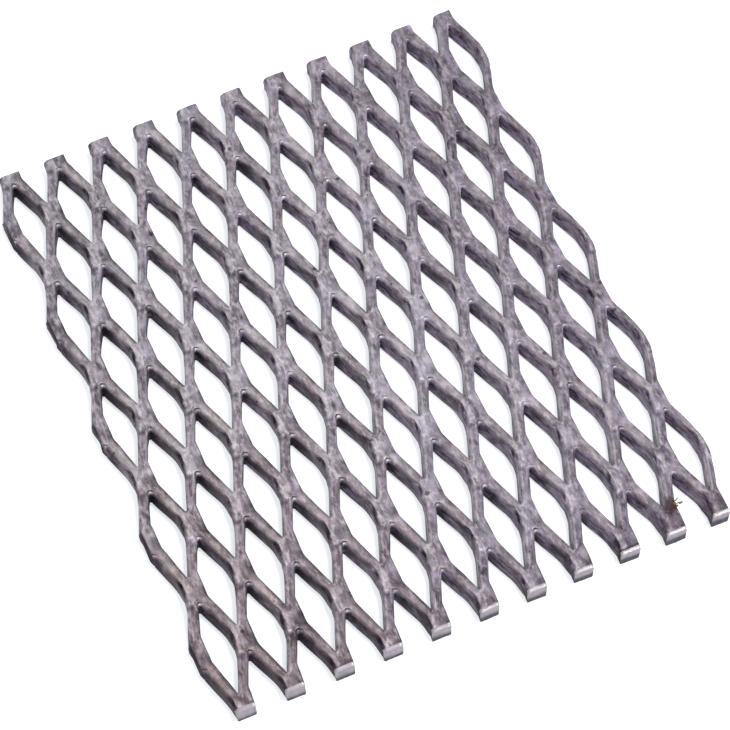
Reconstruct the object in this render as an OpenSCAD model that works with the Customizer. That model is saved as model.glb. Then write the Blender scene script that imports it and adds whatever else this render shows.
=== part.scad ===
// Flattened expanded metal sheet, one piece of slit and stretched steel plate.
// Each strand is the strip between two rows of slits. It zigzags along the long
// way of the mesh, and is one metal with its neighbours at every bond.
// X is the short way, Y the long way and Z up. The sheet lies on Z = 0, centred.

/* [Mesh] */
// Long way of the mesh, from bond centre to bond centre, along Y
lwd = 31.75; // [24:0.25:50]
// Short way of the mesh, from bond centre to bond centre, along X
swd = 12.7; // [10:0.1:20]
// Meshes along the long way
meshes_long = 5; // [2:1:7]
// Meshes along the short way
meshes_short = 11; // [3:1:14]

/* [Strand] */
// Width of a strand, measured along X
strand_w = 2.9; // [1.6:0.05:3.6]
// Width of the last strand, on the right side, which was cut narrower
last_w = 1.95; // [1.2:0.05:3.6]
// How much less the last strand was stretched than the others, along X
last_short = 0.3; // [0:0.05:1]
// Thickness of the flattened sheet
sheet_t = 6; // [1.5:0.05:8]
// Length of a bond, between the ends of two slits in one row
bond_len = 7.2; // [4:0.1:10]
// How far the soft side of a bend is eased off, along Y, to each side of its corner
bend_ease = 1.1; // [0.3:0.05:1.8]

/* [Cut ends] */
// How far the near cut passes the middle of its bonds, at the left corner of the sheet
near_left = 1; // [0:0.1:4]
// How far the near cut passes the middle of its bonds, at the right corner of the sheet
near_right = 3.4; // [0:0.1:4]
// How far the far cut passes the middle of its bonds
far_over = 0.5; // [0:0.1:4]

/* [Sheared edge] */
// How far the torn lips of the first strand stand out, along X
shear_proud = 0.9; // [0.2:0.05:1.5]
// Length of a torn lip, along its half bond
shear_len = 6.4; // [3:0.1:8]
// Height of a torn lip above the underside, less than the thickness
shear_h = 3.8; // [0.8:0.1:6]

/* [Hidden] */
strands = 2 * meshes_short;
stations = 2 * meshes_long;
half_l = meshes_long * lwd / 2;
// how far the right side falls short of the middle of a full bond
right_gap = strand_w - last_w + last_short;
row0 = (shear_proud + right_gap - meshes_short * swd) / 2;
half_bond = bond_len / 2;
// the cuts stay short of the slits beyond them
near_l = min(near_left, half_bond * 0.95);
near_r = min(near_right, half_bond * 0.95);
far_o = min(far_over, half_bond * 0.95);
mid_y = (max(near_l, near_r) - far_o) / 2;
half_shear = min(shear_len, bond_len * 0.94) / 2;
lip_h = min(shear_h, sheet_t * 0.9);
// how far a strand moves along X for each millimetre along Y, between two bonds
lean = (swd / 2 - strand_w) / (lwd / 2 - bond_len);

function row_x(r) = row0 + r * swd / 2;
function station_y(j) = mid_y - half_l + j * lwd / 2;
// the near cut, a straight line a little out of square with the rows of bonds
first_x = row_x(1) - strand_w;
last_x = row_x(strands - 1) + last_w;
function near_y(x) = station_y(0) - near_l - (near_r - near_l) * (x - first_x) / (last_x - first_x);
far_y = station_y(stations) + far_o;
// the sheet between its two cuts, wider than the strands
function cut_plan() = let (a = row0 - swd, b = row_x(strands) + swd)
    [[a, near_y(a)], [b, near_y(b)], [b, far_y], [a, far_y]];
// +1 where strand i joins the row on its right at station j, -1 where it joins the left one
function side(i, j) = (i + j) % 2 == 0 ? 1 : -1;
// the two edges of strand i at station j
function right_x(i, j) = let (last = i == strands - 1)
    side(i, j) > 0 ? row_x(i + 1) - (last ? right_gap : 0) : row_x(i) + (last ? last_w : strand_w);
function left_x(i, j) = let (last = i == strands - 1)
    side(i, j) > 0 ? row_x(i + 1) - strand_w - (last ? last_short : 0) : row_x(i);

// a plain bend: two corners, one at each end of the bond
function plain_bend(x, y) = [[x, y - half_bond], [x, y + half_bond]];
// a bend whose corners are eased off; out is the way it leans away on both sides
function soft_bend(x, y, out) = [
    [x + out * lean * bend_ease, y - half_bond - bend_ease], [x, y - half_bond + bend_ease],
    [x, y + half_bond - bend_ease], [x + out * lean * bend_ease, y + half_bond + bend_ease]
];
function right_bend(i, j) = let (x = right_x(i, j), y = station_y(j))
    i == strands - 1 && side(i, j) > 0 ? soft_bend(x, y, -1) : plain_bend(x, y);
function left_bend(i, j) = let (x = left_x(i, j), y = station_y(j))
    side(i, j) > 0 ? soft_bend(x, y, -1) : plain_bend(x, y);

function reversed(list) = [for (k = [len(list) - 1:-1:0]) list[k]];
// the edge of a strand from the near cut to the far cut
function right_edge(i) = [for (j = [0:stations]) for (p = right_bend(i, j)) p];
function left_edge(i) = [for (j = [0:stations]) for (p = left_bend(i, j)) p];

// one strand, drawn past both cuts and trimmed to the sheet's length
module strand(i) {
    intersection() {
        polygon(concat(right_edge(i), reversed(left_edge(i))));
        polygon(cut_plan());
    }
}

// plan of the torn lip on a half bond, with a long taper on its far side
function lip_plan() = [
    [strand_w / 2, -half_shear], [0, -half_shear], [-shear_proud, shear_proud * 0.6 - half_shear],
    [-shear_proud, half_shear - shear_proud * 1.8], [-shear_proud * 0.35, half_shear - shear_proud * 0.3],
    [0, half_shear], [strand_w / 2, half_shear]
];

// the lower part of each half bond on the first strand, torn off the next strand and left standing out
module torn_lips() {
    for (j = [1:2:stations - 1])
        translate([row_x(0), station_y(j), 0]) linear_extrude(height = lip_h) polygon(lip_plan());
}

// the whole sheet: every strand, fused to the next at the bonds, and the torn lips
module mesh_sheet() {
    color([0.5, 0.48, 0.49])
    union() {
        linear_extrude(height = sheet_t)
        union() {
            for (i = [0:strands - 1]) strand(i);
        }
        torn_lips();
    }
}

mesh_sheet();
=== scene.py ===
import math

import bpy
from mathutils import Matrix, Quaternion, Vector, noise


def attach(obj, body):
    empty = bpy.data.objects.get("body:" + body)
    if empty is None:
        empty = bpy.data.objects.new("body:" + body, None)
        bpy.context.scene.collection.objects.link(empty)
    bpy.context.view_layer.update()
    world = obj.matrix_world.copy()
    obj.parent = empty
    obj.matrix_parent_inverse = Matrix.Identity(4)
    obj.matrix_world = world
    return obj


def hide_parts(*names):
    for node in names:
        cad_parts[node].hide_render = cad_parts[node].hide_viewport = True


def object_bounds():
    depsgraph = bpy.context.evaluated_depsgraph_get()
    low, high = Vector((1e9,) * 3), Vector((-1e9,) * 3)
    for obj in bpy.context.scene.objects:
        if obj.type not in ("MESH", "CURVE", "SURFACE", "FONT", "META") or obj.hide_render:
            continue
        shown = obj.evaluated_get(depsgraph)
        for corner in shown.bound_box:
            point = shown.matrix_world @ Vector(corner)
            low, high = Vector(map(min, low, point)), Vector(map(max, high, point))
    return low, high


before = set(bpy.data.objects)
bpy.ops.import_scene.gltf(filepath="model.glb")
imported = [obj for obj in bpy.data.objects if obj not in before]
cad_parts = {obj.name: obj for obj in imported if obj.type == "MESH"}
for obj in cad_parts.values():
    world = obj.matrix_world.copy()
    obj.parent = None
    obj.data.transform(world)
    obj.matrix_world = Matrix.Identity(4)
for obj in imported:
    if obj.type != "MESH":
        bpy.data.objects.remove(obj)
cad_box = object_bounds()

# The sheet is mild steel plate, slit in staggered rows, stretched open and rolled flat again.
# One mesh of it is a diamond ring of half strands, shaped here from a plain ring: the top, the
# rounded shoulders, the sheared wall of the opening and the underside.
MM = 0.001
lwd, swd = 31.75 * MM, 12.7 * MM
meshes_long, meshes_short = 5, 11
strand_w, sheet_t, bond_len = 2.9 * MM, 6 * MM, 7.2 * MM
near_left, near_right, far_over = 1 * MM, 3.4 * MM, 0.5 * MM
shear_proud, shear_h = 0.9 * MM, 3.8 * MM
last_w, last_short = 1.95 * MM, 0.3 * MM
middle_x = (shear_proud + strand_w - last_w + last_short) / 2
middle_y = (near_right - far_over) / 2
half_l, half_w = meshes_long * lwd / 2, meshes_short * swd / 2
half_bond = bond_len / 2
open_half = swd / 2 - strand_w
slit_end = lwd / 2 - half_bond
soft_ease, crisp_ease = 1.1 * MM, 0.45 * MM
tear_back, crease_gap = 0.9 * MM, 0.3 * MM
tip_back, rim_back = 0.5 * MM, 0.35 * MM
strand_steps, tip_step = 6, 0.6


def share(a, b, f):
    """The value that lies the part f of the way from a to b."""
    return a + (b - a) * f


def quarter(ease, skew, blunt):
    """Middle line and rim of one quarter of a mesh, from the middle of a bond to a slit end."""
    bond_end = Vector((swd / 2, half_bond - tear_back))
    strand_a = Vector((swd / 2 - strand_w * 0.5, half_bond + crease_gap))
    strand_b = Vector((strand_w * 0.5, slit_end - crease_gap))
    line = [Vector((swd / 2, half_bond * f)) for f in (0, 0.3, 0.55)]
    line += [bond_end, Vector((swd / 2 - strand_w * 0.3, half_bond - crease_gap))]
    line += [share(strand_a, strand_b, f / strand_steps) for f in range(strand_steps + 1)]
    line += [Vector((strand_w * 0.3, slit_end + crease_gap)), Vector((0, slit_end + tear_back))]
    bend = half_bond + skew
    lean = open_half / (slit_end - bend)
    bend_a = Vector((open_half, bend - ease))
    bend_b = Vector((open_half - lean * ease, bend + ease))
    corner = share(share(bend_a, bend_b, 0.5), Vector((open_half, bend)), 0.4)
    tip = Vector((blunt, slit_end - tip_back))
    rim = [Vector((open_half, (bend - ease) * f)) for f in (0, 0.33, 0.66)] + [bend_a, corner]
    rim += [share(bend_b, tip, f / (strand_steps + tip_step)) for f in range(strand_steps + 1)]
    rim += [tip, Vector((0, slit_end - rim_back))]
    return list(zip(line, rim))


# The knife drags the metal as it cuts, so the corners of an opening sit a little nearer its far end,
# and the far end of a slit is blunter on its left.
drag, soft_drag = 1.1 * MM, 0.9 * MM
sharp_tip, blunt_tip = 0.2 * MM, 0.45 * MM
turned = [(quarter(soft_ease, 0, sharp_tip), 1, 1),
          (quarter(crisp_ease, drag, blunt_tip)[::-1], -1, 1),
          (quarter(crisp_ease, -drag, sharp_tip), -1, -1),
          (quarter(soft_ease, -soft_drag, sharp_tip)[::-1], 1, -1)]
path = []
for points, sx, sy in turned:
    for line, rim in points[:-1]:
        path.append((Vector((line.x * sx, line.y * sy)), Vector((rim.x * sx, rim.y * sy))))

# Around the ring the section changes: a soft shoulder over the strand on the right of the opening, a
# pressed-over pad edge with a groove under it on the left of each bond, and a smeared bead of metal
# where the knife ended, at the far end of each slit.
section_n = 15
quarter_n = len(path) // 4
far_grip, near_grip = (0.25, 0.65, 1.0, 0.95, 0.6, 0.2), (0.25, 0.3, 0.3, 0.2, 0.1, 0.05)
soft_round, near_round, crisp_round, low_round = 1.05 * MM, 0.6 * MM, 0.5 * MM, 0.3 * MM
arc_in = 0.134
groove_back, groove_shape = 1.3 * MM, ((1.07, 0.03), (0.92, 0.6), (0.6, 0.64), (0.2, 0.95))
bead_back, bead_shape = 0.9 * MM, ((0.68, 0.4), (0.38, 0.1), (0.02, 0.15), (-0.12, 0.55))
least_flat = 0.06 * MM
lean_in, lean_out, pad_lean, flare, hollow = 0.6 * MM, -0.35 * MM, 0.3 * MM, 0.36 * MM, 0.5 * MM
# How dark the skin is, with mill scale and with painted shade, and how rubbed it is or lit by a painted
# highlight, from the middle of a strand over its shoulder and down the wall. Each quarter of the ring
# has its own rows, and some change toward the bond.
# Far right of the opening: painted shade over the shoulder and down the wall, over the wall's dark scale.
right_dark = (0, 0, 0, 0.08, 0.4, 0.8, 1)
# Near right: darker down the wall, and beside the bond painted shade under the pad edge.
lit_dark, lit_dark_at_bond = (0, 0, 0, 0, 0, 0, 0.05, 0.14, 0.35), (0.3, 0, 0, 0, 0.3, 0.4, 0.5, 0.55, 0.6)
# Its shine: rubbing on the bond, and a painted highlight over the shoulder that faces away from the lamp.
lit_shine, lit_shine_at_bond = (0, 0, 0.35, 0.4, 0.6, 0.85, 0.9, 0.8, 0.4, 0), (0, 0.3, 0.3, 0.2, 0)
# Left of the opening: painted shade over the shoulders that roll away and down the walls.
far_dark, near_dark = (0, 0, 0, 0.05, 0.35, 0.9), (0, 0.1, 0.46, 0.66, 0.85, 0.95)
# Painted shade in the shallow valley between the two halves of each bond.
bond_dark = (0.2, 0.42, 0.2)
# Painted shade in a dark crescent under the pressed pad edge beside each bond.
far_crescent, near_crescent = (1.3, 1.7, 1.8, 1.6, 1, 0.4), (1.3, 0.9, 0.6, 0.4, 0.2, 0.1)
crescent_rows = {3: 0.1, 4: 0.9, 5: 1.0}
# At each slit end, painted shade in the groove round the bead and a painted highlight on its crest.
bead_dark, bead_shine = (0, 0, 0.6, 1.0, 0, 0, 0.2), {4: 0.7, 5: 0.7, 6: 0.4}
bpy.ops.object.select_all(action="DESELECT")
bpy.ops.mesh.primitive_torus_add(major_segments=len(path), minor_segments=section_n)
ring = bpy.context.object
marks = ("scale_and_shade", "burnish_and_highlight", "twist", "across")
for name in marks:
    ring.data.attributes.new(name, "FLOAT", "POINT")
scale_and_shade_of, shine_of, twist_of, across_of = (ring.data.attributes[name].data for name in marks)
for i, (line, rim) in enumerate(path):
    way, run = (rim - line).normalized(), (rim - line).length
    on_right = i <= quarter_n or i > 3 * quarter_n
    from_pad = min(i, len(path) - i)
    pad_grip = far_grip if i < quarter_n else near_grip
    grip = pad_grip[from_pad] if from_pad < len(pad_grip) else 0.0
    along = from_pad / quarter_n if on_right else 0.0
    top = min((soft_round if i <= quarter_n else near_round) if on_right else crisp_round, run * 0.8)
    low = min(low_round, run * 0.5)
    flat = run - top
    inner, outer = min(run * 0.35, flat * 0.55), min(max(run * 0.5, flat - top * 0.5), flat * 0.8)
    groove, hook = max(run - groove_back, least_flat), max(run - bead_back, least_flat)
    plain = [(0, 0), (inner, 0), (outer, 0), (flat, 0), (run - top * 0.5, -top * arc_in),
             (run - top * arc_in, -top * 0.5), (run, -top), (run, -sheet_t * 0.3)]
    pressed = [(0, 0), (min(run * 0.35, groove * 0.7), 0), (groove, 0)]
    pressed += [(run - back * MM, -drop * MM) for back, drop in groove_shape] + [(run, -sheet_t * 0.36)]
    beaded = [(0, 0), (min(run * 0.3, hook * 0.6), 0), (hook, -0.05 * MM)]
    beaded += [(run - back * MM, -drop * MM) for back, drop in bead_shape] + [(run, -sheet_t * 0.3)]
    bead = {quarter_n - 1: 0.8, quarter_n: 1.0, quarter_n + 1: 0.55}.get(i, 0.0)
    section = []
    for a, b, c in zip(plain, pressed, beaded):
        out, drop = (share(share(a[k], b[k], grip), c[k], bead) for k in (0, 1))
        section.append((line + way * out, sheet_t + drop))
    under = share(lean_in, lean_out, along ** 0.6) if i > 3 * quarter_n else pad_lean * max(0, 1 - i / 5)
    under -= flare * along ** 0.7 if i <= quarter_n else 0
    if quarter_n < i < 2 * quarter_n:
        under += hollow * math.sin(math.pi * (i / quarter_n - 1)) ** 2
    section += [(rim - way * under * 0.3, sheet_t * 0.5), (rim - way * under * 0.7, sheet_t * 0.28),
                (rim - way * under, low), (rim - way * (under + low * 0.3), low * 0.3),
                (rim - way * (under + low), 0), (line + (rim - line) * 0.4, 0), (line, 0)]
    quadrant = i // quarter_n
    pad = max(0, 1 - min(i % (2 * quarter_n), -i % (2 * quarter_n)) / 5)
    near_pad = min(1, pad * 2.2)
    for j, (point, z) in enumerate(section):
        spot = i * section_n + j
        ring.data.vertices[spot].co = (point.x, point.y, z)
        # The painted shade there grows toward the slit end, where the corner is deepest.
        if quadrant == 0 or i == quarter_n:
            dark = right_dark[min(j, 6)] * (0.3 + 0.7 * along ** 0.7 + 0.4 * along ** 4)
            shine = 0.3 * pad if j in (1, 2) else 0.0
        elif quadrant == 3:
            dark = share(lit_dark[min(j, 8)], lit_dark_at_bond[min(j, 8)], near_pad)
            shine = share(lit_shine[min(j, 9)], lit_shine_at_bond[min(j, 4)], near_pad)
        else:
            dark = (far_dark if quadrant == 1 else near_dark)[min(j, 5)]
            dark *= share(1.1, 0.7, i / quarter_n - 2) if quadrant == 2 else 1
            dark = max(dark, bond_dark[j] * (pad if quadrant == 1 else near_pad)) if j < 3 else dark
            shine = 0.15 * pad if j == 3 or j == 2 and quadrant == 1 else 0.0
        # The painted crescent of shade under the pad edge.
        if on_right and from_pad < len(far_crescent) and j in crescent_rows:
            crescent = far_crescent if i < quarter_n else near_crescent
            dark = max(dark, crescent[from_pad] * crescent_rows[j])
        # Painted shade and highlight at the bead.
        if bead:
            dark = share(dark, bead_dark[j] if j < len(bead_dark) else dark, bead)
            shine = max(shine, bead_shine.get(j, 0) * bead)
        scale_and_shade_of[spot].value = dark
        shine_of[spot].value = shine
        twist_of[spot].value = (1, -1)[quadrant % 2] * math.sin(math.pi * (i % quarter_n) / quarter_n)
        across_of[spot].value = sum(
            math.hypot((a[0] - b[0]).length, a[1] - b[1]) for a, b in zip(section[:j], section[1:j + 1]))

# The ring has no skin where it meets its neighbours, so the strip of faces on its outer side goes.
bpy.ops.object.mode_set(mode="EDIT")
bpy.ops.mesh.select_all(action="DESELECT")
bpy.ops.object.mode_set(mode="OBJECT")
for face in ring.data.polygons:
    steps = {v % section_n for v in face.vertices}
    face.select = steps == {0, section_n - 1}
bpy.ops.object.mode_set(mode="EDIT")
bpy.ops.mesh.delete(type="FACE")
bpy.ops.object.mode_set(mode="OBJECT")

# The sheet: rings side by side in two staggered sets, merged to one metal, and sheared through the
# bonds on the two short sides. The near cut is a little out of square.
sets = []
for columns, rows, first in ((meshes_short, meshes_long + 1, (1 - meshes_short, -1 - meshes_long)),
                             (meshes_short + 1, meshes_long + 1, (-meshes_short, -meshes_long))):
    bpy.ops.object.select_all(action="DESELECT")
    ring.select_set(True)
    bpy.context.view_layer.objects.active = ring
    bpy.ops.object.duplicate()
    lattice = bpy.context.object
    for v in lattice.data.vertices:
        v.co.x += middle_x + first[0] * swd / 2
        v.co.y += middle_y + first[1] * lwd / 2
    for count, step in ((columns, (swd, 0, 0)), (rows, (0, lwd, 0))):
        array = lattice.modifiers.new("row", "ARRAY")
        array.count = count
        array.use_relative_offset = False
        array.use_constant_offset = True
        array.constant_offset_displace = step
        bpy.ops.object.modifier_apply(modifier=array.name)
    sets.append(lattice)
bpy.ops.object.select_all(action="DESELECT")
ring.select_set(True)
bpy.ops.object.delete()
for lattice in sets:
    lattice.select_set(True)
bpy.context.view_layer.objects.active = sets[0]
bpy.ops.object.join()
sheet = bpy.context.object
sheet.name = sheet.data.name = "expanded_sheet"
for face in sheet.data.polygons:
    face.select = abs(face.center.x - middle_x) > half_w
sheet.data.update()
bpy.ops.object.mode_set(mode="EDIT")
bpy.ops.mesh.select_mode(type="FACE")
bpy.ops.mesh.delete(type="FACE")
bpy.ops.mesh.select_mode(type="VERT")
bpy.ops.mesh.select_all(action="SELECT")
bpy.ops.mesh.remove_doubles(threshold=0.01 * MM)
first_x, last_x = middle_x - half_w + swd / 2 - strand_w, middle_x + half_w - swd / 2 + last_w
near_slope = (near_right - near_left) / (last_x - first_x)
near_mid = middle_y - half_l - near_left - near_slope * (middle_x - first_x)


def from_near(point):
    """How far a point of the sheet is behind the near cut, which is a little out of square."""
    return point.y - near_mid + near_slope * (point.x - middle_x)


# Two more rows of points follow the near cut closely, for its rolled edge.
edge_rows = 0.5 * MM, 1.3 * MM
for plane, facing, trimmed in (((middle_x, near_mid, 0), (-near_slope, -1, 0), True),
                               ((0, middle_y + half_l + far_over, 0), (0, 1, 0), True),
                               ((middle_x, near_mid + edge_rows[0], 0), (-near_slope, -1, 0), False),
                               ((middle_x, near_mid + edge_rows[1], 0), (-near_slope, -1, 0), False)):
    bpy.ops.mesh.select_all(action="SELECT")
    bpy.ops.mesh.bisect(plane_co=plane, plane_no=facing, clear_outer=trimmed)
bpy.ops.mesh.select_all(action="DESELECT")
bpy.ops.mesh.select_non_manifold()
bpy.ops.mesh.fill_holes(sides=0)
bpy.ops.mesh.select_all(action="SELECT")
bpy.ops.mesh.delete_loose()
bpy.ops.mesh.select_mode(type="FACE")
bpy.ops.object.mode_set(mode="OBJECT")

# The sheared ends along the two short sides have a rolled-over edge round a flat cut, and so have
# the smooth bends of the right side, which were pulled apart at the next knife stroke. The filled cuts
# are the only faces with many corners.
cut_shift, cut_round, cap_corners = 0.14 * MM, 0.26 * MM, 8
for f in sheet.data.polygons:
    f.select = len(f.vertices) > cap_corners
rim_of_cap = {v: f.normal.copy() for f in sheet.data.polygons if f.select for v in f.vertices}
bpy.ops.object.mode_set(mode="EDIT")
bpy.ops.mesh.inset(thickness=cut_round, depth=0, use_individual=True)
bpy.ops.object.mode_set(mode="OBJECT")
for v, outward in rim_of_cap.items():
    sheet.data.vertices[v].co -= outward * cut_shift

# The left side was torn off at the last row of slits: the lower part of each half bond stands out as
# a rough lip, because the crack ran away from the knife on its way down. The lip's outline is given
# from its far end, as parts of its length with the millimetres that it lies inside the torn line.
lip_outline = ((0, -0.1), (0.17, 0.1), (0.42, 0.55), (0.62, 0.55), (0.83, 0.1), (1, 0.6))
lip_droop, lip_foot = 0.94, 1 * MM
for f in sheet.data.polygons:
    f.select = len(f.vertices) > cap_corners and f.normal.x < -0.9
bpy.ops.object.mode_set(mode="EDIT")
bpy.ops.mesh.bisect(plane_co=(0, 0, shear_h), plane_no=(0, 0, 1))
bpy.ops.object.mode_set(mode="OBJECT")
for f in sheet.data.polygons:
    f.select = (len(f.vertices) > 4 and f.normal.x < -0.9 and f.center.x < middle_x - half_w + 0.05 * MM
                and f.center.z < shear_h)
torn = [f.center.y for f in sheet.data.polygons if f.select]
bpy.ops.object.mode_set(mode="EDIT")
bpy.ops.mesh.extrude_region_move(TRANSFORM_OT_translate={"value": (-shear_proud, 0, 0)})
bpy.ops.object.mode_set(mode="OBJECT")
lips = set()
for v in sheet.data.vertices:
    if v.co.x < middle_x - half_w - 0.5 * MM:
        bond_y = min(torn, key=lambda y: abs(y - v.co.y))
        from_far = min(max((bond_y + half_bond - v.co.y) / bond_len, 0), 1)
        for (start, a), (end, b) in zip(lip_outline, lip_outline[1:]):
            if start <= from_far <= end:
                v.co.x = middle_x - half_w + share(a, b, (from_far - start) / (end - start)) * MM
        lips.add(v.index)
        v.co.z = v.co.z * lip_droop if v.co.z > lip_foot else v.co.z

# The flattening rolls leave each strand a hair below the bond that it leaves on the near side, with a
# crease across it there, darkened by painted shade. The shears rolled, tilted and narrowed the near ends,
# and the stretching left the first strand further in. Nothing is quite even: strands wander and their
# walls ripple, by a noise that starts from a fixed seed, so that each run gives the same sheet.
crease, crease_run, crease_w, crease_dark = 0.2 * MM, 8 * MM, 0.5 * MM, 0.7
torn_zone, torn_skin, torn_top, torn_drop, torn_dark = 1.2 * MM, 0.2 * MM, 0.65 * MM, 0.2 * MM, 0.85
roll_drop, roll_run, shoulder_run, shoulder_depth = 1 * MM, 1.3 * MM, 3 * MM, 2.4 * MM
stub_square, stub_dark, stub_dark_run = 0.4, 0.9, 9 * MM
neck_in, neck_run = 0.12, 5 * MM
tilt, tilt_run = 0.7 * MM, 1.6 * MM
far_pull, far_run = 0.6 * MM, 3 * MM
side_depth, side_pull, side_flat, side_run = 1.5, 0.55, 1 * MM, 2.6 * MM
first_short = 0.75 * MM
wander, wander_len, ripple, ripple_len = 0.14 * MM, 7 * MM, 0.07 * MM, 1.7 * MM
wave_z, rough_z = 0.06 * MM, 0.03 * MM
noise.seed_set(7)
low_corner, high_corner = (Vector(c) for c in cad_box)
left_x, right_x = middle_x - half_w, middle_x + half_w
shine, scale_shade_marks = (sheet.data.attributes[name].data for name in ("burnish_and_highlight", "scale_and_shade"))
for v in sheet.data.vertices:
    p, q = (v.co.x - middle_x) / (swd / 2), (v.co.y - middle_y) / (lwd / 2)
    bond_row = math.ceil(q - 1e-4)
    on_a = abs((p - q + 1) % 2 - 1) > abs((p + q + 1) % 2 - 1)
    below = (bond_row - q) * lwd / 2 - half_bond
    if v.co.z > sheet_t * 0.6 and on_a and below > 0:
        v.co.z -= crease * max(0, 1 - below / crease_run) ** 1.5
        # A line of painted shade in the crease.
        if below < crease_w and v.co.z > sheet_t - 0.7 * MM:
            scale_shade_marks[v.index].value = max(scale_shade_marks[v.index].value, crease_dark)
    if v.co.x < left_x + torn_zone:
        shine[v.index].value = 0
        if v.co.z > sheet_t - torn_top:
            v.co.z = max(v.co.z, sheet_t - torn_drop)
        elif v.co.x < left_x + torn_skin:
            scale_shade_marks[v.index].value = torn_dark
    behind = from_near(v.co)
    if behind < shoulder_run and v.co.z > sheet_t - shoulder_depth:
        if ((p + 1) % 2 - 1) * swd / 2 < -1 * MM:
            v.co.z = sheet_t - (sheet_t - v.co.z) * share(stub_square, 1, behind / shoulder_run)
        v.co.z -= roll_drop * max(0, 1 - behind / roll_run) ** 1.5
    if behind < stub_dark_run and v.co.z < sheet_t - 1 * MM and (p + 1) % 2 < 1:
        left_dark = stub_dark * (1 - behind / stub_dark_run) ** 0.3
        scale_shade_marks[v.index].value = max(scale_shade_marks[v.index].value, left_dark)
    if behind < neck_run:
        v.co.x -= ((p + 1) % 2 - 1) * swd / 2 * neck_in * (1 - behind / neck_run)
        v.co.y += tilt * v.co.z / sheet_t * max(0, 1 - behind / tilt_run)
    from_cut = middle_y + half_l + far_over - v.co.y
    if from_cut < far_run and v.co.x < middle_x - 0.6 * half_w:
        v.co.y -= far_pull * (1 - from_cut / far_run)
    side_bond = abs((q + 1) % 2 - 1) * lwd / 2
    if v.co.x > right_x - side_depth * MM:
        ease = min(max((side_bond - side_flat) / side_run, 0), 1) ** 1.6
        v.co.x -= side_pull * ease * (v.co.x - (right_x - side_depth * MM)) / side_depth
    stretch = min(max((lwd / 2 - side_bond - half_bond) / (lwd / 2 - bond_len), 0), 1)
    if v.co.x < left_x + swd / 2 and v.index not in lips:
        past_bond = ((q + 1) % 2 - 1) * lwd / 2 - half_bond
        left_wall = past_bond > -0.8 * MM and v.co.x < left_x + max(0, past_bond) * 0.4 + 0.5 * MM
        held = min(max((v.co.z - 2 * MM) / (2.5 * MM), 0), 1) if left_wall else 1
        v.co.x += first_short * stretch * held
    past_row = v.co.x - (right_x - swd / 2)
    if past_row > 0:
        v.co.x += (past_row - open_half * stretch) * (last_w / strand_w - 1) - last_short * stretch
    slow, quick = noise.noise_vector(v.co / wander_len), noise.noise_vector(v.co / ripple_len)
    lift = v.co.z / sheet_t
    v.co.x += wander * slow.x + ripple * quick.x * lift
    v.co.y += wander * slow.y + ripple * quick.y * lift
    if v.co.z > 0.2 * MM:
        v.co.z += wave_z * slow.z - wave_z + rough_z * quick.z
    for axis in range(3):
        v.co[axis] = min(max(v.co[axis], low_corner[axis]), high_corner[axis])
sheet.data.update()
bpy.ops.object.shade_smooth_by_angle(angle=math.radians(38))


def linear(hex_colour):
    """An sRGB hex colour as linear red, green, blue and alpha."""
    parts = [int(hex_colour[k:k + 2], 16) / 255 for k in (1, 3, 5)]
    return [p / 12.92 if p <= 0.04045 else ((p + 0.055) / 1.055) ** 2.4 for p in parts] + [1.0]


def add_node(tree, kind, inputs=None, **settings):
    """A shader node with its settings, and its inputs set to values or linked to other nodes' outputs."""
    new = tree.nodes.new("ShaderNode" + kind)
    for name, value in settings.items():
        setattr(new, name, value)
    for key, value in (inputs or {}).items():
        if isinstance(value, bpy.types.NodeSocket):
            tree.links.new(value, new.inputs[key])
        else:
            new.inputs[key].default_value = value
    return new


# Bare mild steel, hot rolled, sheared and pressed flat: mauve-grey mill scale, mottled, streaked along
# the strands, with bluish and pale rubbed patches on top, dark scale down the sheared walls, small pits,
# grime and soil behind some of the cut ends, a few spots of rust, and a dull gloss. Painted shade
# darkens the walls, the shoulders that roll away, the creases, the pad edges, the slit ends, the strands
# twisted away and the near side; painted highlights lie on the shoulders that face away from the lamp
# and on the beads at the slit ends.
blend = {"data_type": "RGBA"}
multiply = {"data_type": "RGBA", "blend_type": "MULTIPLY"}
steel = bpy.data.materials.new("bare_mild_steel")
steel.use_nodes = True
tree = steel.node_tree
shader = tree.nodes["Principled BSDF"]
place = add_node(tree, "TexCoord").outputs["Object"]
where = add_node(tree, "SeparateXYZ", {"Vector": place}).outputs
scale_and_shade_fac, rubbed_and_highlit, twist, across = (
    add_node(tree, "Attribute", attribute_name=name).outputs["Fac"] for name in marks)
patches = add_node(tree, "TexNoise", {
    "Vector": place, "Scale": 1 / (7 * MM), "Detail": 4.0, "Roughness": 0.62}).outputs["Fac"]
lengthwise = add_node(tree, "Mapping", {"Vector": place, "Scale": (1, 0.5, 1)}).outputs["Vector"]
mottle = add_node(tree, "TexNoise", {
    "Vector": lengthwise, "Scale": 1 / (2 * MM), "Detail": 5.0, "Roughness": 0.7}).outputs["Fac"]
blooms = add_node(tree, "TexNoise", {
    "Vector": place, "Scale": 1 / (11 * MM), "Detail": 3.0, "Roughness": 0.55}).outputs["Fac"]
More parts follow.
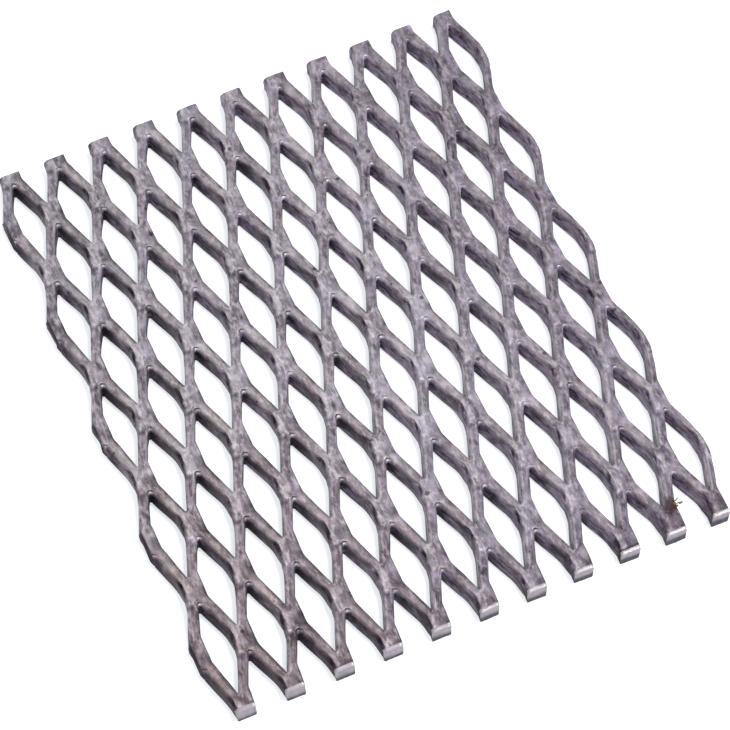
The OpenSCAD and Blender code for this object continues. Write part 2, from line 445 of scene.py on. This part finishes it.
# Rolling streaks, really a tenth of a millimetre wide, drawn at 0.9 mm so that they show.
strand_place = add_node(tree, "CombineXYZ", {
    axis: add_node(tree, "Math", {0: value, 1: 1 / (length * MM)}, operation="MULTIPLY").outputs["Value"]
    for axis, value, length in (("X", across, 0.9), ("Y", where["X"], 3), ("Z", where["Y"], 4))})
rolled = add_node(tree, "TexNoise", {
    "Vector": strand_place.outputs["Vector"], "Scale": 1.0, "Detail": 2.0, "Roughness": 0.6}).outputs["Fac"]
broad = add_node(tree, "MapRange", {
    "Value": patches, "From Min": 0.35, "From Max": 0.66}).outputs["Result"]
fine = add_node(tree, "MapRange", {
    "Value": mottle, "From Min": 0.34, "From Max": 0.6}).outputs["Result"]
drawn = add_node(tree, "MapRange", {
    "Value": rolled, "From Min": 0.36, "From Max": 0.64}).outputs["Result"]
body = add_node(tree, "Mix", {
    "Factor": broad, "A": linear("#7e747d"), "B": linear("#c3bdc5")}, **blend).outputs["Result"]
worn = add_node(tree, "Mix", {"Factor": fine, "A": linear("#4a4048"), "B": body}, **blend).outputs["Result"]
blue = add_node(tree, "MapRange", {
    "Value": blooms, "From Min": 0.5, "From Max": 0.66, "To Max": 0.7}).outputs["Result"]
tint = add_node(tree, "Mix", {"Factor": blue, "A": worn, "B": linear("#adaebb")}, **blend).outputs["Result"]
combed = add_node(tree, "Mix", {
    "Factor": drawn, "A": linear("#5a5159"), "B": linear("#d0cad2")}, **blend).outputs["Result"]
lined = add_node(tree, "Mix", {"Factor": 0.44, "A": tint, "B": combed}, **blend).outputs["Result"]
flecks = add_node(tree, "TexNoise", {
    "Vector": lengthwise, "Scale": 1 / (1.0 * MM), "Detail": 2.0, "Roughness": 0.6}).outputs["Fac"]
pale = add_node(tree, "MapRange", {
    "Value": flecks, "From Min": 0.5, "From Max": 0.66, "To Max": 0.65}).outputs["Result"]
flecked = add_node(tree, "Mix", {
    "Factor": pale, "A": lined, "B": linear("#d3ccd5")}, **blend).outputs["Result"]
# The strands that run down to the left are twisted away from the light, and painted shade makes them darker;
# the others are warmer.
turned_off = add_node(tree, "MapRange", {
    "Value": twist, "From Min": -0.2, "From Max": -1.0}).outputs["Result"]
shaded = add_node(tree, "Mix", {
    "Factor": turned_off, "A": flecked, "B": linear("#d3d0d6")}, **multiply).outputs["Result"]
turned_up = add_node(tree, "MapRange", {
    "Value": twist, "From Min": 0.1, "From Max": 0.9, "To Max": 0.42}).outputs["Result"]
uneven = add_node(tree, "TexNoise", {"Vector": place, "Scale": 1 / (8 * MM), "Detail": 4.0}).outputs["Fac"]
spread = add_node(tree, "MapRange", {
    "Value": uneven, "From Min": 0.35, "From Max": 0.65}).outputs["Result"]
ruddy = add_node(tree, "Mix", {
    "Factor": spread, "A": linear("#4c4240"), "B": linear("#c0b5b2")}, **blend).outputs["Result"]
warmed = add_node(tree, "Mix", {"Factor": turned_up, "A": shaded, "B": ruddy}, **blend).outputs["Result"]
# Toward the right and the near side the top is a little darker, least on the warmer strands; toward the near
# side the darkening is painted shade.
rightward = add_node(tree, "MapRange", {
    "Value": where["X"], "From Min": 0.1 * half_w, "From Max": half_w, "To Max": 0.9}).outputs["Result"]
nearward = add_node(tree, "MapRange", {
    "Value": where["Y"], "From Min": -0.1 * half_l, "From Max": -half_l, "To Max": 0.72}).outputs["Result"]
leaning = add_node(tree, "Math", {0: twist}, operation="ABSOLUTE").outputs["Value"]
spared = add_node(tree, "MapRange", {
    "Value": leaning, "From Min": 0.0, "From Max": 0.8, "To Min": 1.0, "To Max": 0.55}).outputs["Result"]
spared_right = add_node(tree, "Math", {0: rightward, 1: spared}, operation="MULTIPLY").outputs["Value"]
dimmed = add_node(tree, "Math", {0: spared_right, 1: nearward}, operation="MAXIMUM").outputs["Value"]
toned = add_node(tree, "Mix", {
    "Factor": dimmed, "A": warmed, "B": linear("#a59ba7")}, **multiply).outputs["Result"]
# The near corner on the left is browner.
left_side = add_node(tree, "MapRange", {
    "Value": where["X"], "From Min": 0.1 * half_w, "From Max": -half_w}).outputs["Result"]
near_side = add_node(tree, "MapRange", {
    "Value": where["Y"], "From Min": 0.2 * half_l, "From Max": -half_l}).outputs["Result"]
corner = add_node(tree, "Math", {0: left_side, 1: near_side}, operation="MULTIPLY").outputs["Value"]
browned = add_node(tree, "Mix", {
    "Factor": corner, "A": toned, "B": linear("#fff3e6")}, **multiply).outputs["Result"]
# Pale rubbed patches, and painted highlights on the shoulders that face away from the lamp and on the beads.
patchy = add_node(tree, "Math", {0: rubbed_and_highlit, 1: fine}, operation="MULTIPLY").outputs["Value"]
bright = add_node(tree, "Mix", {
    "Factor": patchy, "A": browned, "B": linear("#d5cfd6")}, **blend).outputs["Result"]
# The sheared walls: streaks along them, 1.3 mm high.
streak_place = add_node(tree, "Mapping", {"Vector": place, "Scale": (0.6, 0.35, 1)}).outputs["Vector"]
streaks = add_node(tree, "TexNoise", {
    "Vector": streak_place, "Scale": 1 / (1.3 * MM), "Detail": 3.0, "Roughness": 0.65}).outputs["Fac"]
wall_tone = add_node(tree, "MapRange", {
    "Value": streaks, "From Min": 0.35, "From Max": 0.68}).outputs["Result"]
wall = add_node(tree, "Mix", {
    "Factor": wall_tone, "A": linear("#453a50"), "B": linear("#d8cae0")}, **blend).outputs["Result"]
# Some walls kept more scale than others, most of all on the left and by the near cut; beside the bonds the
# painted shade under the pad edge darkens them further.
leftward = add_node(tree, "MapRange", {
    "Value": where["X"], "From Min": -half_w, "From Max": half_w,
    "To Min": -0.15, "To Max": 0.14}).outputs["Result"]
squared = add_node(tree, "Math", {
    0: where["X"], 1: near_slope, 2: where["Y"]}, operation="MULTIPLY_ADD").outputs["Value"]
cut_at = near_mid + near_slope * middle_x
cutward = add_node(tree, "MapRange", {
    "Value": squared, "From Min": cut_at, "From Max": cut_at + 12 * MM,
    "To Min": -0.14, "To Max": 0.0}).outputs["Result"]
sided = add_node(tree, "Math", {0: leftward, 1: cutward}, operation="ADD").outputs["Value"]
luck = add_node(tree, "Math", {0: patches, 1: sided}, operation="ADD").outputs["Value"]
heavy = add_node(tree, "MapRange", {
    "Value": luck, "From Min": 0.36, "From Max": 0.6, "To Min": 0.85, "To Max": 0.0}).outputs["Result"]
# Above 1 the mark is the painted shade under the pad edges, which darkens the wall colour further.
pad_edge_shade = add_node(tree, "MapRange", {
    "Value": scale_and_shade_fac, "From Min": 1.0, "From Max": 1.7, "To Max": 0.9}).outputs["Result"]
heavy_scale_and_shade = add_node(tree, "Math", {0: heavy, 1: pad_edge_shade}, operation="MAXIMUM").outputs["Value"]
walls_scaled_and_shaded = add_node(tree, "Mix", {"Factor": heavy_scale_and_shade, "A": wall, "B": linear("#221a26")}, **blend).outputs["Result"]
skin = add_node(tree, "Mix", {"Factor": scale_and_shade_fac, "A": bright, "B": walls_scaled_and_shaded}, **blend).outputs["Result"]
# Pits of about half a millimetre, a few to the square centimetre.
cells = add_node(tree, "TexVoronoi", {"Vector": place, "Scale": 1 / (5.5 * MM)})
chosen = add_node(tree, "SeparateColor", {"Color": cells.outputs["Color"]}).outputs["Red"]
width = add_node(tree, "MapRange", {
    "Value": chosen, "From Min": 0.45, "From Max": 1.0, "To Min": 0.0, "To Max": 0.11}).outputs["Result"]
hole = add_node(tree, "Math", {0: cells.outputs["Distance"], 1: width}, operation="LESS_THAN").outputs["Value"]
pit = add_node(tree, "Math", {0: hole, 1: 0.75}, operation="MULTIPLY").outputs["Value"]
pitted = add_node(tree, "Mix", {"Factor": pit, "A": skin, "B": linear("#2e2629")}, **blend).outputs["Result"]
# Grime caught behind the near cut ends, on some of them.
edge = add_node(tree, "MapRange", {
    "Value": squared, "From Min": cut_at + 2.2 * MM, "From Max": cut_at + 1.6 * MM}).outputs["Result"]
some = add_node(tree, "MapRange", {
    "Value": patches, "From Min": 0.5, "From Max": 0.58, "To Max": 0.5}).outputs["Result"]
aside = add_node(tree, "Math", {
    0: where["X"], 1: 39.2 * MM, 2: 3.6 * MM}, operation="COMPARE").outputs["Value"]
most = add_node(tree, "Math", {0: aside, 1: some}, operation="MAXIMUM").outputs["Value"]
grime = add_node(tree, "Math", {0: edge, 1: most}, operation="MULTIPLY").outputs["Value"]
grimy = add_node(tree, "Mix", {"Factor": grime, "A": pitted, "B": linear("#3a3135")}, **blend).outputs["Result"]
# The last few near ends on the right are soiled darker, with a brownish cast.
end_run = add_node(tree, "MapRange", {
    "Value": squared, "From Min": cut_at + 9 * MM, "From Max": cut_at + 4 * MM}).outputs["Result"]
last_few = add_node(tree, "MapRange", {
    "Value": where["X"], "From Min": 34 * MM, "From Max": 52 * MM, "To Max": 0.9}).outputs["Result"]
uneven_end = add_node(tree, "MapRange", {
    "Value": mottle, "From Min": 0.32, "From Max": 0.56, "To Min": 1.0, "To Max": 0.55}).outputs["Result"]
soil = add_node(tree, "Math", {0: end_run, 1: last_few}, operation="MULTIPLY").outputs["Value"]
soil_part = add_node(tree, "Math", {0: soil, 1: uneven_end}, operation="MULTIPLY").outputs["Value"]
soiled = add_node(tree, "Mix", {
    "Factor": soil_part, "A": grimy, "B": linear("#83727c")}, **multiply).outputs["Result"]
# Rust: one spot behind the last cut end but one, a stain on the last, and small spots elsewhere. Each
# has its place and its size in millimetres, and its strength.
rust = None
for spot, size, depth in (((54.2, -74.3, 5.5), 2.2, 1.0), ((53.2, -73.6, 5.9), 3.3, 0.85),
                          ((61.3, -75.1, 5.9), 2.6, 0.4), ((-34.8, 48.9, 5.9), 0.9, 0.9),
                          ((-29.5, 31.4, 5.9), 0.7, 0.8), ((-6.2, 64.4, 5.9), 0.7, 0.8)):
    far = add_node(tree, "VectorMath", {
        0: place, 1: [c * MM for c in spot]}, operation="DISTANCE").outputs["Value"]
    ragged = add_node(tree, "Math", {
        0: mottle, 1: size * 2 * MM, 2: far}, operation="MULTIPLY_ADD").outputs["Value"]
    stain = add_node(tree, "MapRange", {
        "Value": ragged, "From Min": size * 1.9 * MM, "From Max": size * 1.4 * MM,
        "To Max": depth}).outputs["Result"]
    rust = add_node(tree, "Math", {0: rust, 1: stain}, operation="MAXIMUM").outputs["Value"] if rust else stain
ochre = add_node(tree, "Mix", {
    "Factor": fine, "A": linear("#1c0a0b"), "B": linear("#482628")}, **blend).outputs["Result"]
coat = add_node(tree, "Mix", {"Factor": rust, "A": soiled, "B": ochre}, **blend).outputs["Result"]
gloss = add_node(tree, "MapRange", {"Value": fine, "To Min": 0.55, "To Max": 0.4}).outputs["Result"]
dull = add_node(tree, "Mix", {"Factor": scale_and_shade_fac, "A": gloss, "B": 0.9}).outputs["Result"]
metal = add_node(tree, "MapRange", {"Value": rust, "To Min": 0.45, "To Max": 0.0}).outputs["Result"]
bump = add_node(tree, "Bump", {"Height": mottle, "Strength": 0.7, "Distance": 0.25 * MM}).outputs["Normal"]
tree.links.new(coat, shader.inputs["Base Color"])
tree.links.new(dull, shader.inputs["Roughness"])
tree.links.new(metal, shader.inputs["Metallic"])
tree.links.new(bump, shader.inputs["Normal"])
shader.inputs["Specular IOR Level"].default_value = 0.25
sheet.data.materials.append(steel)

# Mild steel where it was freshly sheared, at the short sides: a bright burnished band under the top
# edge, which the knife rubbed, over a darker face that tore, with fine upright scores, and a painted
# highlight along the rounded top edge.
cut = bpy.data.materials.new("sheared_mild_steel")
cut.use_nodes = True
tree = cut.node_tree
shader = tree.nodes["Principled BSDF"]
place = add_node(tree, "TexCoord").outputs["Object"]
where = add_node(tree, "SeparateXYZ", {"Vector": place}).outputs
lowered = add_node(tree, "MapRange", {
    "Value": where["X"], "From Min": -half_w, "From Max": half_w,
    "To Min": 0.9 * MM, "To Max": -0.7 * MM}).outputs["Result"]
waves = add_node(tree, "TexNoise", {"Vector": place, "Scale": 1 / (3.5 * MM), "Detail": 3.0}).outputs["Fac"]
wavy = add_node(tree, "Math", {0: waves, 1: 2 * MM, 2: where["Z"]}, operation="MULTIPLY_ADD").outputs["Value"]
shifted = add_node(tree, "Math", {0: wavy, 1: lowered}, operation="ADD").outputs["Value"]
band = add_node(tree, "MapRange", {
    "Value": shifted, "From Min": 2.9 * MM, "From Max": 4.6 * MM}).outputs["Result"]
upright = add_node(tree, "Mapping", {"Vector": place, "Scale": (1, 1, 0.15)}).outputs["Vector"]
scores = add_node(tree, "TexNoise", {"Vector": upright, "Scale": 1 / (0.8 * MM), "Detail": 2.0}).outputs["Fac"]
torn_tone = add_node(tree, "Mix", {
    "Factor": scores, "A": linear("#4b4853"), "B": linear("#716e79")}, **blend).outputs["Result"]
bright_tone = add_node(tree, "Mix", {
    "Factor": scores, "A": linear("#78707a"), "B": linear("#aaa2ab")}, **blend).outputs["Result"]
# A painted highlight along the rounded top edge of the cut.
edge = add_node(tree, "MapRange", {
    "Value": where["Z"], "From Min": 4.7 * MM, "From Max": 5.5 * MM}).outputs["Result"]
lit_tone = add_node(tree, "Mix", {
    "Factor": edge, "A": bright_tone, "B": linear("#a8a0a6")}, **blend).outputs["Result"]
cut_tone = add_node(tree, "Mix", {"Factor": band, "A": torn_tone, "B": lit_tone}, **blend).outputs["Result"]
clean = add_node(tree, "MapRange", {"Value": band, "To Max": 0.5}).outputs["Result"]
tree.links.new(cut_tone, shader.inputs["Base Color"])
tree.links.new(clean, shader.inputs["Metallic"])
tree.links.new(clean, shader.inputs["Specular IOR Level"])
shader.inputs["Roughness"].default_value = 0.42
sheet.data.materials.append(cut)
for f in sheet.data.polygons:
    near_face = f.normal.y < -0.3 and abs(f.normal.x) < 0.8 and from_near(f.center) < 1.5 * MM
    far_face = f.normal.y > 0.55 and f.center.y > middle_y + half_l + far_over - 0.3 * MM
    if near_face or far_face:
        f.material_index = 1
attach(sheet, "root")
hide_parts("mesh_sheet")

# A tuft of rusty wool that caught on the last neck but one: a few short matted hairs, dull brown.
# Each is a thread of points in millimetres, with its thickness there as a part of hair_thick.
hair_thick = 0.62 * MM
hairs = (((54.0, -74.2, 5.2, 0.8), (54.7, -74.25, 5.5, 0.6), (55.3, -74.1, 5.6, 0.3)),
         ((54.0, -73.9, 5.3, 1.0), (54.6, -73.4, 5.5, 0.9), (55.1, -73.5, 5.6, 0.5)),
         ((53.8, -73.3, 5.4, 0.7), (54.5, -72.9, 5.5, 0.7), (54.95, -72.3, 5.6, 0.3)),
         ((54.4, -73.8, 5.5, 0.3), (55.4, -73.6, 5.7, 0.16), (56.0, -73.75, 5.5, 0.5),
          (56.5, -73.8, 5.5, 0.4), (56.9, -73.6, 5.5, 0.1)),
         ((54.4, -73.0, 5.5, 0.3), (55.3, -72.75, 5.6, 0.25), (56.3, -72.35, 5.6, 0.15)))
bpy.ops.object.select_all(action="DESELECT")
bpy.ops.curve.primitive_bezier_curve_add()
tuft = bpy.context.object
tuft.name = "rust_tuft"
tuft.data.splines.clear()
for hair in hairs:
    thread = tuft.data.splines.new("POLY")
    thread.points.add(len(hair) - 1)
    for point, (x, y, z, part) in zip(thread.points, hair):
        point.co = (x * MM, y * MM, z * MM, 1)
        point.radius = part
tuft.data.bevel_depth = hair_thick
tuft.data.bevel_resolution = 1
tuft.data.use_fill_caps = True
bpy.ops.object.convert(target="MESH")
bpy.ops.object.mode_set(mode="EDIT")
bpy.ops.mesh.select_all(action="SELECT")
bpy.ops.mesh.remove_doubles(threshold=0.001 * MM)
bpy.ops.mesh.normals_make_consistent(inside=False)
bpy.ops.object.mode_set(mode="OBJECT")
# Wool stained by rust, matted and dry: two browns in clumps of 0.8 mm, with no gloss.
wool = bpy.data.materials.new("rusty_wool")
wool.use_nodes = True
tree = wool.node_tree
shader = tree.nodes["Principled BSDF"]
place = add_node(tree, "TexCoord").outputs["Object"]
matted = add_node(tree, "TexNoise", {"Vector": place, "Scale": 1 / (0.8 * MM), "Detail": 2.0}).outputs["Fac"]
brown = add_node(tree, "Mix", {
    "Factor": matted, "A": linear("#3d2a1e"), "B": linear("#8a7558")}, **blend).outputs["Result"]
tree.links.new(brown, shader.inputs["Base Color"])
shader.inputs["Roughness"].default_value = 0.95
tuft.data.materials.append(wool)
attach(tuft, "root")

# A plain sheet of white paper as the floor. It shows as white to the camera and in reflections, and
# keeps a pale shadow of the steel.
floor_size, white = 3.0, 0.69
bpy.ops.object.select_all(action="DESELECT")
bpy.ops.mesh.primitive_plane_add(size=floor_size)
floor = bpy.context.object
floor.name = "floor"
paper = bpy.data.materials.new("white_paper")
paper.use_nodes = True
tree = paper.node_tree
shader = tree.nodes["Principled BSDF"]
shader.inputs["Base Color"].default_value = linear("#c8c8c8")
shader.inputs["Roughness"].default_value = 0.9
rays = add_node(tree, "LightPath").outputs
seen = add_node(tree, "Math", {
    0: rays["Is Camera Ray"], 1: rays["Is Glossy Ray"]}, operation="MAXIMUM").outputs["Value"]
strength = add_node(tree, "Math", {0: seen, 1: white}, operation="MULTIPLY").outputs["Value"]
glow = add_node(tree, "Emission", {"Color": linear("#f6faff"), "Strength": strength}).outputs[0]
both = add_node(tree, "AddShader", {0: shader.outputs[0], 1: glow}).outputs[0]
tree.links.new(both, tree.nodes["Material Output"].inputs["Surface"])
floor.data.materials.append(paper)

# Soft studio light: a dim sky that is brighter overhead, one lamp high above the sheet on the right,
# and a low one in front on the right that catches the cut ends.
lamps = (((0.2, -0.08, 1.12), 0.16, 7), ((0.6, -1.5, 0.12), 0.3, 12))
world = bpy.data.worlds.new("studio")
bpy.context.scene.world = world
world.use_nodes = True
tree = world.node_tree
sky = add_node(tree, "TexCoord").outputs["Generated"]
up = add_node(tree, "SeparateXYZ", {"Vector": sky}).outputs["Z"]
dome = add_node(tree, "MapRange", {
    "Value": up, "From Min": 0.0, "From Max": 0.9, "To Min": 0.28, "To Max": 0.71}).outputs["Result"]
tree.links.new(dome, tree.nodes["Background"].inputs["Strength"])
tree.nodes["Background"].inputs["Color"].default_value = (1, 1, 1, 1)
for spot, size, power in lamps:
    bpy.ops.object.light_add(type="AREA", location=spot)
    lamp = bpy.context.object
    lamp.data.size = size
    lamp.data.energy = power
    lamp.rotation_euler = (-lamp.location).to_track_quat("-Z", "Y").to_euler()

# The camera stands near the short edge on the left, looking down, as the photograph does. Its focal
# length is given in pixels of the photograph's frame.
azimuth, elevation, roll = math.radians(-26.968), math.radians(64.414), math.radians(2.759)
aim = Vector((1.587 * MM, -5.861 * MM, 0.75 * MM))
distance, focal_px, frame_px, sensor = 557.82, 2178.46, 730, 36
toward = Vector((math.cos(elevation) * math.sin(azimuth),
                 -math.cos(elevation) * math.cos(azimuth), math.sin(elevation)))
bpy.ops.object.camera_add(location=aim + toward * distance * MM)
camera = bpy.context.object
camera.rotation_mode = "QUATERNION"
camera.rotation_quaternion = (-toward).to_track_quat("-Z", "Y") @ Quaternion((0, 0, 1), roll)
camera.data.sensor_width = sensor
camera.data.lens = sensor * focal_px / frame_px
bpy.context.scene.camera = camera
bpy.context.scene.view_settings.view_transform = "Standard"
